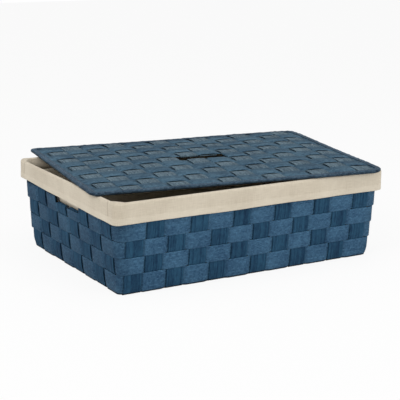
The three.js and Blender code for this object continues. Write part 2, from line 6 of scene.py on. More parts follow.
import bmesh
import bpy
import numpy as np
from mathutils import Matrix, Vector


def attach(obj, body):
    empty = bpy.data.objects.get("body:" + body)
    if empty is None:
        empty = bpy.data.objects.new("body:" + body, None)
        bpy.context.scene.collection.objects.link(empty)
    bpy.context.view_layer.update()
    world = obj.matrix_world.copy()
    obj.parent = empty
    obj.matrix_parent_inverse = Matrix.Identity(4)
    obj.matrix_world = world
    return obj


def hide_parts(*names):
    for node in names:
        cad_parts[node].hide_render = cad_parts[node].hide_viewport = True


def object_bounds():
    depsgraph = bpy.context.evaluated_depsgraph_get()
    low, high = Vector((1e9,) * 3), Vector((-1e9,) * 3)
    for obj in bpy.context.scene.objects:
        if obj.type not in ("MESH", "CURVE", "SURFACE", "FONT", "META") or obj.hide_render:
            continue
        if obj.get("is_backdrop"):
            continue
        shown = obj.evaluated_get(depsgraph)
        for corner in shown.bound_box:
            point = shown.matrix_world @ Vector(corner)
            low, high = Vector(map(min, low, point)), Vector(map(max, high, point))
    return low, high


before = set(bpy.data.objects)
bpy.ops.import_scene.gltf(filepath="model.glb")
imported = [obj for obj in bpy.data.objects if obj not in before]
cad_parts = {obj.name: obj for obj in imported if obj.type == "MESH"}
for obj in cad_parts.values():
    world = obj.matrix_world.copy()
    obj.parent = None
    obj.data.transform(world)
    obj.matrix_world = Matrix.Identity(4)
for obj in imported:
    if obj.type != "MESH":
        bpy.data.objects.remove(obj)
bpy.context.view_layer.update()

# The wire frame: a rim ring, a base ring, four corner posts and a bent wire round each hand slot.
# Round mild steel wire, spot-welded, then dipped in dark grey paint that pools a little
# and wears thin where the straps rub.
wire_paint = (0.035, 0.038, 0.042, 1.0)
wire_worn = (0.11, 0.11, 0.11, 1.0)


def add(tree, kind, *values, **settings):
    """A node with its settings and its inputs in order. A socket is linked, a value is set,
    and None is left as it is."""
    node = tree.nodes.new(kind)
    for key, value in settings.items():
        setattr(node, key, value)
    for socket, value in zip(node.inputs, values):
        if isinstance(value, bpy.types.NodeSocket):
            tree.links.new(value, socket)
        elif value is not None:
            socket.default_value = value
    return node


def math_node(tree, operation, a, b=None, c=None):
    return add(tree, "ShaderNodeMath", a, b, c, operation=operation).outputs[0]


def blend_node(tree, factor, a, b, mode="MIX"):
    """A mix of two colours."""
    node = add(tree, "ShaderNodeMix", factor, data_type="RGBA", blend_type=mode)
    for socket, value in ((node.inputs[6], a), (node.inputs[7], b)):
        if isinstance(value, bpy.types.NodeSocket):
            tree.links.new(value, socket)
        else:
            socket.default_value = value
    return node.outputs[2]


def range_node(tree, value, low, high, to_low, to_high):
    """A value spread from one range to another, held at the ends."""
    return add(tree, "ShaderNodeMapRange", value, low, high, to_low, to_high).outputs[0]


def noise_node(tree, place, scale, detail, roughness=None):
    return add(tree, "ShaderNodeTexNoise", place, None, scale, detail, roughness).outputs["Fac"]


def object_place(tree):
    return add(tree, "ShaderNodeTexCoord").outputs["Object"]


def fine_relief(tree, shader, height, strength, depth):
    """Relief that is too fine for the mesh, that many metres deep."""
    bump = add(tree, "ShaderNodeBump", strength, depth)
    tree.links.new(height, bump.inputs["Height"])
    tree.links.new(bump.outputs[0], shader.inputs["Normal"])


def new_finish(name, **numbers):
    """A material with its shader, whose plain numbers are set on the shader itself."""
    material = bpy.data.materials.new(name)
    material.use_nodes = True
    tree = material.node_tree
    shader = tree.nodes["Principled BSDF"]
    for key, value in numbers.items():
        shader.inputs[key.replace("_", " ")].default_value = value
    return material, tree, shader


def wire_finish(name):
    material, tree, shader = new_finish(name, Metallic=0.55)
    place = object_place(tree)
    patches = noise_node(tree, place, 60.0, 4.0)
    grain = noise_node(tree, place, 900.0, 3.0)
    worn = range_node(tree, patches, 0.58, 0.72, 0.0, 0.7)
    tree.links.new(blend_node(tree, worn, wire_paint, wire_worn), shader.inputs["Base Color"])
    tree.links.new(range_node(tree, grain, 0.3, 0.7, 0.36, 0.55), shader.inputs["Roughness"])
    fine_relief(tree, shader, grain, 0.3, 0.0002)
    return material


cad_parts["wire_frame"].data.materials.clear()
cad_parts["wire_frame"].data.materials.append(wire_finish("painted_frame_wire"))

# The uprights: flat straps of fifteen twisted paper cords glued side by side, dyed navy.
# Each runs down one wall, across the bottom and up the other, woven past the bands,
# and folds over the rim wire, or over the slot wire, into a short glued tail.
basket_centre = np.array([-19.0, -17.5, 0.0])
rim_length, rim_width, rim_height = 637.0, 452.0, 184.8
base_length, base_width = 599.0, 412.0
strap_width = 38.0
cord_pitch = 2.53
cord_relief = 0.25
cord_unevenness = 0.07
strap_body = 0.6
floor_clearance = 0.05
swing = 1.4
outer_swing = 1.25
crossing_reach = 19.4
band_top = 179.9
row_pitch = 34.5
band_rows = 5
front_count, front_pitch = 12, 49.18
end_count, end_pitch = 8, 49.857
bottom_height = 1.95
foot_height = 0.65
foot_run = 12.0
bend_radius = 3.32
rim_fold_radius = 2.8
tail_length = 24.0
slot_wire_height = 130.5
slot_fold_radius = 2.71
slot_tail_offset = -6.83
slot_tail_length = 18.0
slot_half = 54.0
front_lean = 9.0
first_share, last_share = 0.4, 0.7
upright_sway, sway_length = 0.9, 130
cords_apart, run_apart = 40, 3700.0


def half_length(z):
    return (base_length + (rim_length - base_length) * z / rim_height) / 2


def half_width(z):
    return (base_width + (rim_width - base_width) * z / rim_height) / 2


def spread(index, count, pitch):
    return (index - (count - 1) / 2) * pitch


def row_middle(row):
    return band_top - row_pitch * (row + 0.5)


def front_shift(index, y):
    """How far a front upright lies off its even place: most on the front wall, none at the back."""
    share = {0: first_share, front_count - 1: last_share}.get(index, 1.0)
    half = base_width / 2
    return -front_lean * share * np.clip((half - y) / (2 * half), 0, 1)


def weave_wave(phase):
    """The rise of a strap past one crossing: 1 in its middle, 0 halfway to the next, flat-topped."""
    c = np.cos(np.pi * np.clip(phase, -0.5, 0.5))
    return c * (3 - c * c) / 2


def ease(t):
    t = np.clip(t, 0, 1)
    return t * t * (3 - 2 * t)


def cord_rows(width, seed):
    """Places across a strap, a crest on each cord and a valley between two, and how high each stands."""
    cords = round(width / cord_pitch)
    places = np.linspace(-width / 2, width / 2, 2 * cords + 1)
    crest = np.arange(places.size) % 2 == 1
    uneven = np.random.default_rng(seed).normal(0, cord_unevenness, places.size)
    return places, np.where(crest, cord_relief, -cord_relief) + uneven


def cloth_mesh(name, points, along, across, ring=False, opened=None):
    """A grid laid on points, an array of stations by places across. Its UV map keeps both lengths."""
    stations, places = points.shape[:2]
    form = bmesh.new()
    bmesh.ops.create_grid(form, x_segments=stations - 1, y_segments=places - 1, size=0.5)
    mesh = bpy.data.meshes.new(name)
    form.to_mesh(mesh)
    mesh.vertices.foreach_set("co", (points.transpose(1, 0, 2) * 0.001).astype(np.float32).ravel())
    corner = np.empty(len(mesh.loops), np.int32)
    mesh.loops.foreach_get("vertex_index", corner)
    lay = np.column_stack([along[corner % stations], across[corner // stations]]) * 0.001
    mesh.uv_layers.new(name="lay").data.foreach_set("uv", lay.astype(np.float32).ravel())
    form.clear()
    form.from_mesh(mesh)
    if opened is not None:
        form.faces.ensure_lookup_table()
        gone = [form.faces[i + j * (stations - 1)] for i, j in zip(*np.nonzero(opened))]
        bmesh.ops.delete(form, geom=gone, context="FACES")
    if ring:
        bmesh.ops.remove_doubles(form, verts=form.verts, dist=1e-6)
    for face in form.faces:
        face.smooth = True
    form.to_mesh(mesh)
    form.free()
    return mesh


def in_scene(name, data):
    made = bpy.data.objects.new(name, data)
    bpy.context.scene.collection.objects.link(made)
    return made


def new_piece(name, mesh, finish, thickness, body, nodes):
    """A piece of that cloth or strap, given its thickness and put in its place in the table."""
    piece = in_scene(name, mesh)
    mesh.materials.append(finish)
    if thickness:
        solid = piece.modifiers.new("thickness", "SOLIDIFY")
        solid.thickness = thickness * 0.001
        solid.offset = 0
    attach(piece, body)
    if nodes:
        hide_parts(*nodes)
    return piece


def face_normals(points):
    along = np.gradient(points, axis=0)
    across = np.gradient(points, axis=1)
    normal = np.cross(along, across)
    return normal / np.linalg.norm(normal, axis=2, keepdims=True)


def lay_strap(name, points, heights, along, across, seed, **rest):
    """A strap whose middle lies on points: its cords stand out of it on both faces.
    Each strap has its own stretch of the UV map, so that no two are flecked alike."""
    relief = np.broadcast_to(heights, points.shape[:2])
    formed = points + face_normals(points) * relief[..., None]
    formed[..., 2] = np.maximum(formed[..., 2], strap_body / 2 + floor_clearance)
    if rest.get("ring"):
        formed[-1] = formed[0]
    start, first_cord = run_apart * (seed % 89), cords_apart * cord_pitch * seed
    return cloth_mesh(name, formed, along + start, across + first_cord, rest.get("ring", False),
                      rest.get("opened"))


def lengths_in_piece(tree):
    """The lengths along and across a piece, in metres, from its UV map."""
    parts = add(tree, "ShaderNodeSeparateXYZ", add(tree, "ShaderNodeUVMap", uv_map="lay").outputs[0])
    return parts.outputs[0], parts.outputs[1]


def stretched_place(tree, along, along_scale, across, across_scale, shift=0.0):
    return add(tree, "ShaderNodeCombineXYZ", math_node(tree, "MULTIPLY", along, along_scale),
               math_node(tree, "MULTIPLY", across, across_scale), shift).outputs[0]


def with_patterns(tree, mixed, *patterns):
    """A value with patterns added, each a value, its middle and its strength."""
    for value, middle, strength in patterns:
        mixed = math_node(tree, "MULTIPLY_ADD", math_node(tree, "SUBTRACT", value, middle), strength, mixed)
    return mixed


def strap_finish(name, dark, light, cords=1.0, flecks=75.0, mottling=1.7, sheen_grey=None, end_shade=None,
                 turned=None):
    """Dyed paper cord: each cord has its own tone, flecked along its length, with painted shade in the
    valleys.
    The basket's has painted shade on its end walls and along its foot, next to the floor,
    and the binding's has painted shade on its outer side, past where it has turned over the edge."""
    material, tree, shader = new_finish(name, Specular_IOR_Level=0.12, Sheen_Weight=0.02,
                                        Sheen_Roughness=0.5)
    u, v = lengths_in_piece(tree)
    place = object_place(tree)
    number = math_node(tree, "DIVIDE", v, cord_pitch * 0.001)
    cord = math_node(tree, "FLOOR", number)
    tone = add(tree, "ShaderNodeTexWhiteNoise", None, cord, noise_dimensions="1D").outputs["Value"]
    streak = noise_node(tree, stretched_place(tree, u, flecks, cord, 1.7), 1.0, 3.0, 0.65)
    fibre = noise_node(tree, stretched_place(tree, u, 260.0, v, 2400.0), 1.0, 2.0)
    fade = noise_node(tree, place, 17.0, 2.0)
    mixed = with_patterns(tree, 0.5, (tone, 0.5, 0.42 * cords), (streak, 0.5, mottling), (fibre, 0.5, 0.7),
                          (fade, 0.5, 0.9))
    color = blend_node(tree, range_node(tree, mixed, 0.0, 1.0, 0.0, 1.0), dark, light)
    # A grey speckle of painted sheen, on the lid's cross straps.
    if sheen_grey is not None:
        sheen_speckle = range_node(tree, fibre, 0.45, 0.75, 0.0, 0.35)
        color = blend_node(tree, sheen_speckle, color, sheen_grey)
    # Painted shade in the valleys between cords, and a little painted light on the crests.
    crest = math_node(tree, "PINGPONG", number, 0.5)
    shade = range_node(tree, crest, 0.0, 0.5, 0.72, 1.08)
    if end_shade is not None:
        spot = add(tree, "ShaderNodeSeparateXYZ", place)
        from_middle = [math_node(tree, "ABSOLUTE", math_node(tree, "SUBTRACT", spot.outputs[k],
                                                             0.001 * basket_centre[k])) for k in (0, 1)]
        past_end, past_side = [math_node(tree, "SUBTRACT", reach, 0.0005 * size - 0.009)
                               for reach, size in zip(from_middle, (base_length, base_width))]
        near_wall = range_node(tree, math_node(tree, "MAXIMUM", past_end, past_side), 0.0, 0.004, 0.0, 1.0)
        # Painted shade along the foot, where the bottom edge meets the floor.
        foot_shade = range_node(tree, spot.outputs[2], 0.003, 0.005, 0.85, 0.0)
        foot_shade = math_node(tree, "MULTIPLY", near_wall, foot_shade)
        shade = math_node(tree, "MULTIPLY", shade, math_node(tree, "SUBTRACT", 1.0, foot_shade))
        # Painted shade on the end walls and the corners beside them.
        end_wall_shade = range_node(tree, from_middle[0], 0.27, 0.31, 1.0, end_shade)
        shade = math_node(tree, "MULTIPLY", shade, end_wall_shade)
    # Painted shade on the binding's outer side, past where it turns over the edge.
    if turned is not None:
        shade = math_node(tree, "MULTIPLY", shade, range_node(tree, v, turned, turned + 0.0045, 1.0, 0.5))
    tinted = add(tree, "ShaderNodeCombineColor", shade, shade, shade).outputs[0]
    tree.links.new(blend_node(tree, 1.0, color, tinted, "MULTIPLY"), shader.inputs["Base Color"])
    tree.links.new(range_node(tree, fibre, 0.3, 0.7, 0.62, 0.86), shader.inputs["Roughness"])
    twist = math_node(tree, "SINE", math_node(tree, "MULTIPLY_ADD", u, 2600.0,
                                              math_node(tree, "MULTIPLY", v, 2500.0)))
    fine_relief(tree, shader, math_node(tree, "MULTIPLY_ADD", twist, 0.35, fibre), 0.5, 0.00025)
    return material


def rgb(red, green, blue):
    """A colour as a screen shows it, from 0 to 255, turned to the linear numbers that a shader takes."""
    def linear(value):
        value /= 255
        return value / 12.92 if value <= 0.04045 else ((value + 0.055) / 1.055) ** 2.4
    return linear(red), linear(green), linear(blue), 1.0


# The uprights are coloured darker than the bands though of one dye: the bands' lighter colours are painted
# highlight on their level cords.
upright_finish = strap_finish("upright_paper_cord", rgb(17, 49, 76), rgb(45, 87, 115), 1.4, end_shade=0.95)


def weave_up(side, z):
    """Offset of an upright from the middle of the wall on its way past the bands."""
    row = np.clip(np.floor((band_top - z) / row_pitch), 0, band_rows - 1)
    sign = side * np.where(row % 2 == 0, 1.0, -1.0)
    wave = sign * weave_wave((z - row_middle(row)) / row_pitch)
    return np.where(wave > 0, outer_swing * swing * wave, swing * wave)


def wall_climb(side, row, steps):
    """Offset and height of an upright round the bend from the bottom, and up a wall to a row's middle."""
    angle = np.linspace(np.pi / 2, 0, 6)
    depth = bottom_height + bend_radius - foot_height
    bend = np.column_stack([bend_radius * (np.cos(angle) - 1), foot_height + depth * (1 - np.sin(angle))])
    z = np.linspace(bottom_height + bend_radius, row_middle(row), steps)[1:]
    return np.vstack([bend, np.column_stack([weave_up(side, z), z])])


def over_wire(angle, middle, reach, radius, height, tail_offset, length):
    """An upright's fold over a wire and the glued tail behind it."""
    fold = np.column_stack([middle + reach * np.cos(angle), height + radius * np.sin(angle)])
    z = height - np.linspace(0, length, 5)[1:]
    return np.vstack([fold, np.column_stack([np.full(4, tail_offset), z])])


def under_bottom(s, lift, end):
    """Height of an upright under the basket, which sinks to the floor at both walls."""
    share = ease((end - np.abs(s)) / foot_run)
    return foot_height + (bottom_height + swing * lift - foot_height) * share


def full_climb(side):
    """Offset and height of an upright from the bottom bend to the end of its tail over the rim."""
    climb = wall_climb(side, 0, 37)
    z = np.linspace(row_middle(0), rim_height, 6)[1:]
    rise = ease((z - row_middle(0)) / (rim_height - row_middle(0)))
    start, reach = climb[-1, 0], side * rim_fold_radius
    top = np.column_stack([start + (reach - start) * rise, z])
    end = over_wire(np.linspace(0, np.pi, 9)[1:], 0.0, reach, rim_fold_radius, rim_height, -reach,
                    tail_length)
    return np.vstack([climb, top, end])


def slot_climb(side):
    """The same for an upright that ends below the hand slot, folded inwards over the slot wire."""
    climb = wall_climb(side, 1, 29)
    start = climb[-1, 0]
    middle, reach = (start + slot_tail_offset) / 2, (start - slot_tail_offset) / 2
    return np.vstack([climb, over_wire(np.linspace(0, np.pi, 11), middle, reach, slot_fold_radius,
                                       slot_wire_height, slot_tail_offset, slot_tail_length)])


def flat_crossings(s, centres, signs, reach, end):
    """A strap that lies flat over each strap it crosses and changes side in the gaps, level at both ends."""
    edges = [-end]
    values = [0.0]
    for centre, sign in zip(centres, signs):
        edges += [centre - reach, centre + reach]
        values += [sign, sign]
    edges.append(end)
    values.append(0.0)
    edges, values = np.array(edges), np.array(values)
    k = np.clip(np.searchsorted(edges, s, side="right") - 1, 0, len(edges) - 2)
    part = ease((s - edges[k]) / (edges[k + 1] - edges[k]))
    return values[k] + (values[k + 1] - values[k]) * part


def crossing_stops(centres, reach, flat_steps, gap_steps):
    """Stations along a strap: some over each crossing and some in each gap."""
    stops = []
    for k, centre in enumerate(centres):
        stops.append(np.linspace(centre - reach, centre + reach, flat_steps))
        if k + 1 < len(centres):
            stops.append(np.linspace(centre + reach, centres[k + 1] - reach, gap_steps + 2)[1:-1])
    return np.concatenate(stops)


def strap_run(path):
    """Length along a path at each of its points."""
    return np.concatenate([[0], np.cumsum(np.linalg.norm(np.diff(path, axis=0), axis=1))])


front_centres = [spread(k, front_count, front_pitch) for k in range(front_count)]
end_centres = [spread(k, end_count, end_pitch) for k in range(end_count)]
wander = np.random.default_rng(7)


def lay_upright(wall, index, seed, path, middle, across):
    """An upright along its path, with a slight sway of its own: across is 0 or 1, for x or y."""
    rows, heights = cord_rows(strap_width, seed)
    run = strap_run(path)
    sway = wander.normal(0, upright_sway) * np.sin(run / sway_length + index)
    points = np.empty((len(path), len(rows), 3))
    points[..., across] = (middle + sway)[:, None] + (1 - 2 * across) * rows[None, :]
    points[..., 1 - across] = path[:, :1]
    points[..., 2] = path[:, 1:]
    points += basket_centre
    name = f"{wall}_upright_strap_{index + 1}"
    mesh = lay_strap(name, points, heights, run, rows, seed)
    new_piece(name, mesh, upright_finish, strap_body, "basket", [f"{wall}_upright_{index + 1}"])


for index in range(front_count):
    side = 1 if index % 2 == 0 else -1
    near, far = full_climb(side), full_climb(-side)
    end = half_width(bottom_height) - bend_radius
    s = np.linspace(-end, end, 73)[1:-1]
    nearest = np.clip(np.round(s / end_pitch + (end_count - 1) / 2), 0, end_count - 1)
    sign = np.where((index + nearest) % 2 == 1, -1.0, 1.0)
    lift = sign * weave_wave((s - (nearest - (end_count - 1) / 2) * end_pitch) / end_pitch)
    path = np.vstack([
        np.column_stack([-(half_width(near[:, 1]) + near[:, 0]), near[:, 1]])[::-1],
        np.column_stack([s, under_bottom(s, lift, end)]),
        np.column_stack([half_width(far[:, 1]) + far[:, 0], far[:, 1]]),
    ])
    lay_upright("front", index, 11 + index, path, front_centres[index] + front_shift(index, path[:, 0]), 0)

for index in range(end_count):
    side = 1 if index % 2 == 0 else -1
    meets_slot = abs(end_centres[index]) < slot_half
    climb = slot_climb if meets_slot else full_climb
    left, right = climb(-side), climb(side)
    end = half_length(bottom_height) - bend_radius
    centres = [front_centres[k] + front_shift(k, end_centres[index]) for k in range(front_count)]
    s = crossing_stops(centres, crossing_reach, 3, 3)
    signs = [-1.0 if (index + k) % 2 == 0 else 1.0 for k in range(front_count)]
    path = np.vstack([
        np.column_stack([-(half_length(left[:, 1]) + left[:, 0]), left[:, 1]])[::-1],
        np.column_stack([s, under_bottom(s, flat_crossings(s, centres, signs, crossing_reach, end), end)]),
        np.column_stack([half_length(right[:, 1]) + right[:, 0], right[:, 1]]),
    ])
    lay_upright("end", index, 31 + index, path, end_centres[index], 1)

# The bands: the same paper-cord strap, a shade lighter in painted highlight, laid on edge round the wall in
# five closed rings.
# Each passes in front of one upright and behind the next, its ends overlapped and glued out of sight.
# The two top ones are cut away at the hand slots, and the lowest closes the basket's foot.
band_width = 33.9
band_outer_swing = 1.2
band_lean = 0.35
band_dip_height = 0.5
upright_cover, cover_fade = 14.0, 5.0
measured_place = 15
flat_half_length, flat_half_width = 289.9, 193.9
lip_flare = 2.2
foot_reach = 6.7
foot_tuck, lip_tuck = 1.6, 4.5
slot_roof = 164.8
# Lighter than the uprights': painted highlight on the level cords.
band_finish = strap_finish("band_paper_cord", rgb(36, 68, 98), rgb(78, 119, 149), 0.4, 150.0, 2.2,
                           end_shade=0.7)


def ring_points(x, y, facing, reach_x, reach_y, z, tight=0.0):
    """Points of a ring round the basket, as arrays: an anchor on the flat of a wall, the way it faces,
    the half sizes of the ring there, and how much smaller than usual its corners' radius is."""
    round_x = np.maximum(reach_x - flat_half_length - tight, 1.0)
    round_y = np.maximum(reach_y - flat_half_width - tight, 1.0)
    x, y = x * (1 + tight / flat_half_length), y * (1 + tight / flat_half_width)
    turn = np.radians(facing)
    return np.stack(np.broadcast_arrays(
        np.clip(x, round_x - reach_x, reach_x - round_x) + round_x * np.cos(turn),
        np.clip(y, round_y - reach_y, reach_y - round_y) + round_y * np.sin(turn),
        z), axis=-1)


def ring_stations(row, corner_steps=7):
    """Stations of a band: x, y, facing, which side of the wall it is on, how far its lower lip stands out,
    and whether it is clear of the uprights."""
    stations = []
    leaning = [front_centres[k] + front_shift(k, -base_width) for k in range(front_count)]
    walls = [(-90, leaning), (0, end_centres), (90, front_centres), (180, end_centres)]
    for facing, centres in walls:
        along_x, along_y = -round(math.sin(math.radians(facing))), round(math.cos(math.radians(facing)))
        anchor = (along_y * flat_half_length, -along_x * flat_half_width)
        stops = crossing_stops(centres, crossing_reach, 5, 3)
        if along_y and row < 2:
            stops = np.unique(np.concatenate([stops, [-slot_half, slot_half]]))
        signs = [-1.0 if (k % 2 == 0) == (row % 2 == 0) else 1.0 for k in range(len(centres))]
        end = abs(centres[0]) + crossing_reach
        side = flat_crossings(stops, centres, signs, crossing_reach, end + 1e-6)
        first, last = signs[0], signs[-1]
        side = np.where(stops <= centres[0], first, np.where(stops >= centres[-1], last, side))
        for stop, value in zip(stops, side):
            off_centre = min(abs(stop - c) for c in centres)
            beside = min(max((off_centre - upright_cover) / cover_fade, 0.0), 1.0)
            stations.append((anchor[0] + along_x * stop, anchor[1] + along_y * stop, facing, value, 0.0,
                             beside))
        corner = ((along_x + along_y) * flat_half_length, (along_y - along_x) * flat_half_width)
        for step in range(1, corner_steps):
            part = step / corner_steps
            value = last * (1 - 2 * float(ease(part)))
            stations.append((*corner, facing + 90 * part, value, math.sin(math.pi * part), 1.0))
    return np.array(stations)


def band_dip(run):
    """A slight rise and fall round the wall, the same for all the bands."""
    return np.sin(2 * np.pi * 5 * run / run[-1] + 1.0) * np.sin(2 * np.pi * 2 * run / run[-1])


for row in range(band_rows):
    seed = 51 + row
    stations = ring_stations(row)
    stations = np.vstack([stations, stations[:1]])
    x, y, facing, side, lip, beside = (stations[:, k:k + 1] for k in range(6))
    rows, heights = cord_rows(band_width, seed)
    z = row_middle(row) + rows[None, :]
    low = 0.5 - rows[None, :] / band_width
    offset = (np.where(side > 0, band_outer_swing, 1.0) * swing * side + lip_flare * lip * low
              + band_lean * (low - 0.5))
    rim_run = strap_run(ring_points(x, y, facing, rim_length / 2, rim_width / 2, 0.0)[:, 0])
    z = z + band_dip_height * band_dip(rim_run)[:, None]
    if row == band_rows - 1:
        free = np.maximum(np.maximum(np.clip(4 * (side + 1), 0, 1), lip), beside)
        z = z - foot_reach * free * low ** 3
        offset = offset - free * (foot_tuck + lip_tuck * lip) * low ** 6
    reach_x, reach_y = half_length(z) + offset, half_width(z) + offset
    points = ring_points(x, y, facing, reach_x, reach_y, z) + basket_centre
    opened = None
    if row < 2:
        middle = (points[:-1, 0, 1] + points[1:, 0, 1]) / 2 - basket_centre[1]
        on_end = (facing[:-1, 0] % 180 == 0) & (facing[1:, 0] % 180 == 0)
        height = row_middle(row) + (rows[:-1] + rows[1:]) / 2
        cut = height > slot_wire_height if row == 1 else height < slot_roof
        opened = (on_end & (np.abs(middle) < slot_half))[:, None] & cut[None, :]
    name = f"band_strap_{row + 1}"
    run = strap_run(points[:, measured_place])
    mesh = lay_strap(name, points, heights, run, rows, seed, ring=True, opened=opened)
    new_piece(name, mesh, band_finish, strap_body, "basket", [f"band_{row + 1}"])

# The liner: a loose bag of cream linen-weave cloth that stands in the basket.
# Four wall panels are sewn together in the corners and to a flat bottom, and a cuff with a stitched hem
# is sewn on at the top, folded over the rim and left hanging outside.
cloth_body = 0.9
liner_inset = 7.68
liner_floor = 4.2
liner_seam = 164.8
cuff_fold_radius = 4.64
cuff_low = 147.44
hem_depth = 13.5
seam_place = 12.6
seam_depth, seam_spread = 0.8, 0.8
fold_start = 180.8
cloth_gap = 0.6
wave_height, ripple_height, corner_flare = 0.45, 0.3, 0.3
hem_wander = 0.5
ring_corners = [(1, -1, -90), (1, 1, 0), (-1, 1, 90), (-1, -1, 180)]
corner_tight = {-90: 8.0, 0: 13.0, 90: 13.0, 180: 22.0}
back_rise, left_rise = 5.5, 1.8
linen_dark, linen_light = rgb(191, 179, 159), rgb(223, 213, 194)
seam_shadow = rgb(146, 134, 115)


def cloth_finish(name, hem_start=None, seams=()):
    """Plain-weave linen and cotton: slubbed threads both ways, with a soft broad shading.
    A hem, where the cloth is double, is a little paler, and a seam above it lies in its own shadow."""
    material, tree, shader = new_finish(name, Roughness=0.95, Specular_IOR_Level=0.2, Sheen_Weight=0.15,
                                        Sheen_Roughness=0.6)
    u, v = lengths_in_piece(tree)
    warp = noise_node(tree, stretched_place(tree, v, 45.0, u, 900.0), 1.0, 2.0)
    weft = noise_node(tree, stretched_place(tree, u, 45.0, v, 900.0, 5.0), 1.0, 2.0)
    wave_u, wave_v = [math_node(tree, "SINE", math_node(tree, "MULTIPLY", run, 6800.0)) for run in (u, v)]
    weave = math_node(tree, "MULTIPLY", wave_u, wave_v)
    broad = noise_node(tree, object_place(tree), 14.0, 2.0)
    slub = math_node(tree, "ADD", warp, weft)
    mixed = with_patterns(tree, 0.5, (slub, 1.0, 0.9), (broad, 0.5, 0.9))
    mixed = math_node(tree, "MULTIPLY_ADD", weave, 0.04, mixed)
    if hem_start is not None:
        hem_tone = range_node(tree, v, hem_start - 0.001, hem_start + 0.001, -0.06, 0.14)
        mixed = math_node(tree, "ADD", mixed, hem_tone)
    color = blend_node(tree, range_node(tree, mixed, 0.0, 1.0, 0.0, 1.0), linen_dark, linen_light)
    for seam_run in seams:
        beside = math_node(tree, "ABSOLUTE", math_node(tree, "SUBTRACT", u, seam_run))
        above_hem = range_node(tree, v, hem_start - 0.001, hem_start, 0.42, 0.0)
        line = math_node(tree, "MULTIPLY", above_hem, range_node(tree, beside, 0.001, 0.0024, 1.0, 0.0))
        color = blend_node(tree, line, color, seam_shadow)
    tree.links.new(color, shader.inputs["Base Color"])
    fine_relief(tree, shader, math_node(tree, "MULTIPLY_ADD", weave, 0.4, slub), 0.35, 0.0003)
    return material


linen = cloth_finish("cream_linen")


def soft_noise(s, seed, length, period):
    """A smooth random wave along a closed run."""
    draw = np.random.default_rng(seed)
    total = np.zeros_like(s)
    turns = max(int(period / length), 1)
    for k in range(1, turns + 1):
        strength = draw.normal(0, 1 / math.sqrt(turns))
        total += strength * np.cos(2 * math.pi * (k * s / period + draw.random()))
    return total


def directions(degrees):
    """The level directions that stations face."""
    turn = np.radians(degrees)
    return np.column_stack([np.cos(turn), np.sin(turn)])


def plain_ring(flat_step, corner_steps):
    """Stations round the basket, even but for more at a seam near each end wall's corners: x, y, facing,
    and how much tighter the cuff's corners are there."""
    stations = []
    for k, (corner_x, corner_y, facing) in enumerate(ring_corners):
        start = np.array([corner_x * flat_half_length, corner_y * flat_half_width])
        for step in range(corner_steps + 1):
            stations.append((*start, facing + 90 * step / corner_steps, corner_tight[facing]))
        after = ring_corners[(k + 1) % 4]
        finish = np.array([after[0] * flat_half_length, after[1] * flat_half_width])
        count = int(round(np.linalg.norm(finish - start) / flat_step))
        shares = np.arange(1, count) / count
        if facing in (-90, 90):
            beside = seam_place + np.array([-2.0, -0.9, 0.0, 0.9, 2.0])
            beside = np.concatenate([beside, 2 * flat_half_width - beside]) / (2 * flat_half_width)
            shares = np.sort(np.concatenate([shares, beside]))
        for share in shares:
            tight = corner_tight[facing] * (1 - share) + corner_tight[after[2]] * share
            stations.append((*(start + (finish - start) * share), facing + 90, tight))
    return np.array(stations)


ring = plain_ring(9.0, 14)
ring = np.vstack([ring, ring[:1]])
x, y, facing, tight = (ring[:, k:k + 1] for k in range(4))
outward = np.column_stack([directions(facing[:, 0]), np.zeros(len(facing))])
cuff_run = strap_run(np.column_stack([x[:, 0] * rim_length / 2 / flat_half_length,
                                      y[:, 0] * rim_width / 2 / flat_half_width]) + 25 * outward[:, :2])
drop = half_length(fold_start) - rim_length / 2 - liner_inset - cloth_gap
low_drop = half_length(liner_seam) - rim_length / 2 - liner_inset - cloth_gap
angle = np.linspace(np.pi, 0, 11)
fold = np.column_stack([cuff_fold_radius * np.cos(angle), rim_height + cuff_fold_radius * np.sin(angle)])
hem_top = cuff_low + hem_depth
outside = cuff_fold_radius
profile = np.array(
    [(low_drop, liner_seam + 0.4), ((low_drop + drop) / 2, (liner_seam + fold_start) / 2),
     (drop, fold_start)]
    + [tuple(p) for p in fold]
    + [(outside, z) for z in (180.0, 174.0, 168.0, 164.0)]
    + [(outside + 0.05, hem_top + 1.2), (outside + 0.05, hem_top + 0.3), (outside + 0.2, hem_top - 0.8)]
    + [(outside + 0.3, z) for z in (156.0, 152.0, 149.2)]
    + [(outside + 0.3, cuff_low + 0.5), (outside - 0.5, cuff_low + 0.2), (outside - 0.9, cuff_low + 1.2),
       (outside - 0.9, 153.0), (outside - 0.9, hem_top - 0.6)])
wave = soft_noise(cuff_run, 3, 90.0, cuff_run[-1])[:, None]
ripple = soft_noise(cuff_run, 5, 40.0, cuff_run[-1])[:, None]
hang = np.clip((rim_height - profile[None, :, 1]) / (rim_height - cuff_low), 0, 1)
hang = hang * (profile[None, :, 0] > 0)
corner = np.abs(np.sin(np.radians(2 * facing)))
seam = np.exp(-((np.abs(y) - flat_half_width + seam_place) / seam_spread) ** 2) * (facing % 180 == 0)
offset = profile[None, :, 0] + hang * (wave_height * wave + ripple_height * ripple + corner_flare * corner)
outer = ease((profile[None, :, 0] + cuff_fold_radius) / (2 * cuff_fold_radius))
offset = offset - seam_depth * seam * outer
z = profile[None, :, 1] + hang * hem_wander * soft_noise(cuff_run, 9, 160.0, cuff_run[-1])[:, None]
z = z + hang * back_rise * (y / flat_half_width + 1) / 2
z = z + left_rise * corner ** 2 * (x < 0) * ease((profile[None, :, 1] - 170) / 12)
points = ring_points(x, y, facing, rim_length / 2 + offset, rim_width / 2 + offset, z,
                     tight * outer) + basket_centre
points[-1] = points[0]
hem_place = 20
seam_runs = [float(run) * 0.001 for run in cuff_run[seam[:, 0] > 0.99]]
